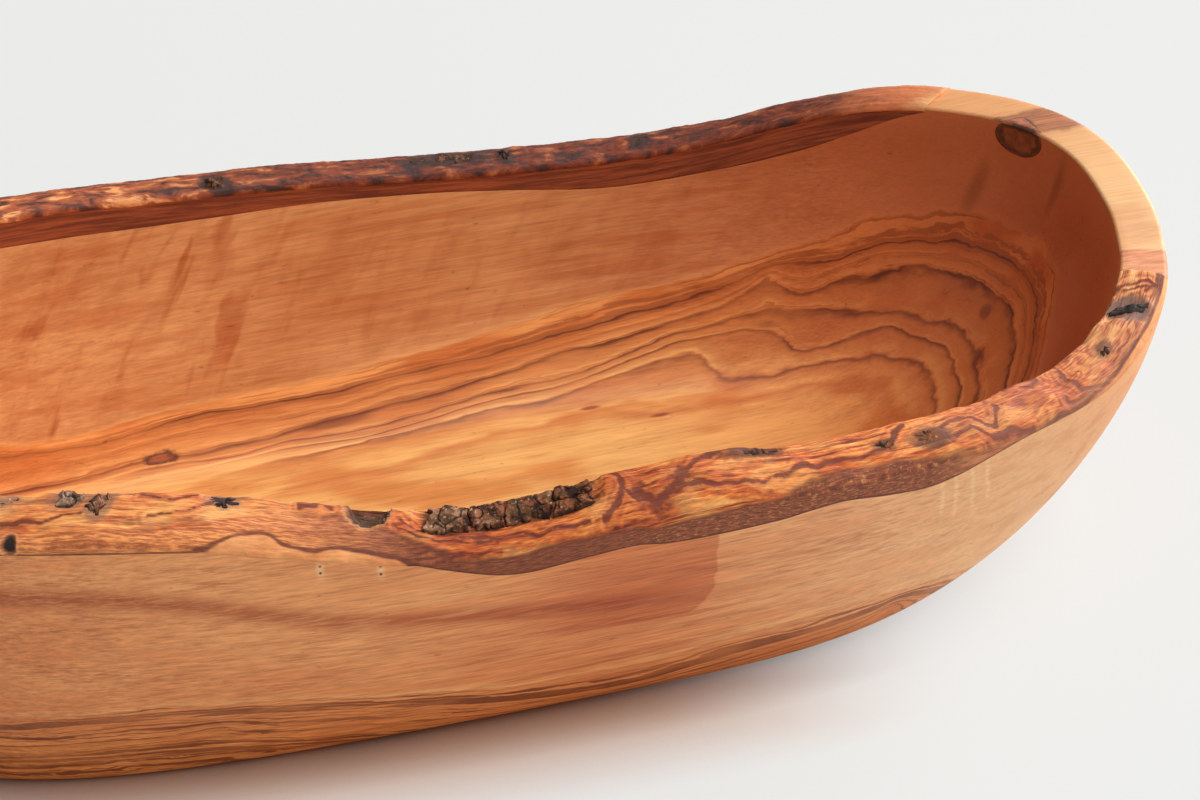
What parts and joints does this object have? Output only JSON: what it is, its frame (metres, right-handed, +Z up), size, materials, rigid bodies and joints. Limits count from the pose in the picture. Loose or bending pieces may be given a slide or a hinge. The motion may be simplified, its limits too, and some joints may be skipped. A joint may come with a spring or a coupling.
{
  "type": "live edge wooden bowl",
  "caption": "Long boat-shaped wooden bowl carved from half an olive log, with a natural bark edge along both sides and sawn rim ends.",
  "frame": {"origin": "on the table, below the middle of the bowl's length and width", "axes": "+X along the bowl's length towards its raked end with the knot, +Y towards the back side, +Z up"},
  "size_m": [0.344, 0.136, 0.0944],
  "materials": {
    "carved_wood": "oiled, sanded smooth",
    "live_edge": "natural, rough",
    "bark": "rough bark",
    "knot_wood": "oiled, sanded smooth"
  },
  "bodies": {
    "root": {"bowl_body": "carved_wood", "end_knot": "knot_wood", "front_live_edge": "live_edge", "back_live_edge": "live_edge", "left_bark_crumb_1": "bark", "left_bark_crumb_2": "bark", "left_bark_crumb_3": "bark", "front_bark_chip": "bark", "notch_bark": "bark", "notch_bark_small": "bark", "front_bark_plate_1": "bark", "front_bark_plate_2": "bark", "front_bark_plate_3": "bark", "front_bark_plate_4": "bark", "front_bark_plate_5": "bark", "front_bark_sliver": "bark", "bark_spot_1": "bark", "bark_spot_2": "bark", "bark_spot_3": "bark", "bark_pocket": "bark", "back_bark_flake_1": "bark", "back_bark_flake_2": "bark", "back_bark_flake_3": "bark", "back_bark_flake_4": "bark"}
  },
  "joints": []
}
